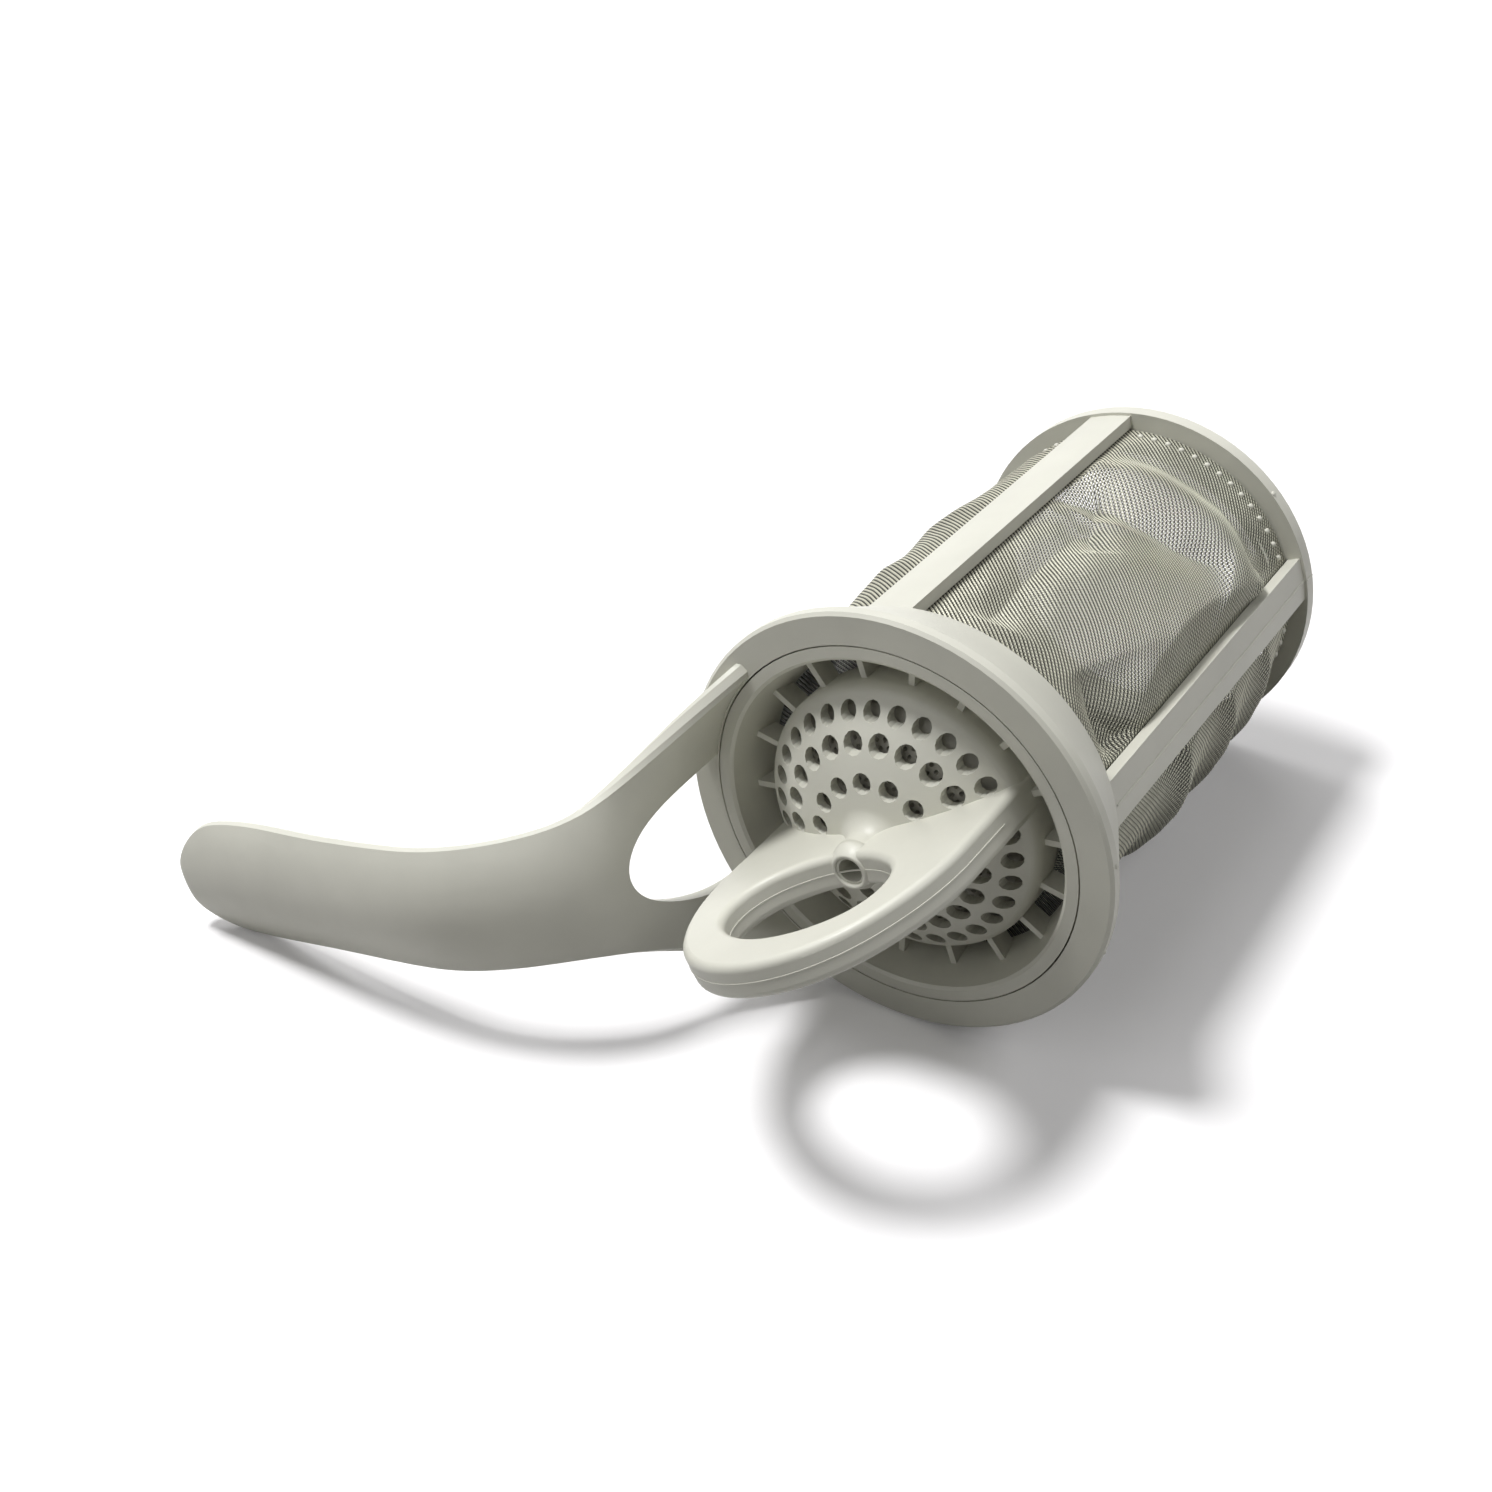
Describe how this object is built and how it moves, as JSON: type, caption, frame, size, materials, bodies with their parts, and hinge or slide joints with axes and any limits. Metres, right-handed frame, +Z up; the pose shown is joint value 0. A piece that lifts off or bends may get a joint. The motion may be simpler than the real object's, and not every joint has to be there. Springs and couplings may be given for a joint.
{
  "type": "dishwasher filter",
  "caption": "Cylindrical mesh microfilter with a turning lever, and a lift-out domed strainer with a loop handle, lying on its side.",
  "frame": {"origin": "centre of the bounding box's underside, on the table that the filter lies on", "axes": "+Z up; +Y along the longest extent, the way the lever points; +X roughly towards the foot of the microfilter, whose own axis is tilted by 3 degrees"},
  "size_m": [0.161, 0.1828, 0.085],
  "materials": {
    "frame_plastic": "satin moulded",
    "mesh_steel": "fine plain weave",
    "strainer_plastic": "satin moulded",
    "sieve_plastic": "finely perforated"
  },
  "bodies": {
    "microfilter": {"microfilter_frame": "frame_plastic", "mesh_sleeve": "mesh_steel"},
    "coarse_filter": {"strainer": "strainer_plastic", "inner_sieve": "sieve_plastic"}
  },
  "joints": [
    {"name": "strainer_lift", "type": "slide", "parent": "microfilter", "child": "coarse_filter", "axis": [-0.9987, 0, 0.0516], "range_m": [0, 0.03]}
  ]
}
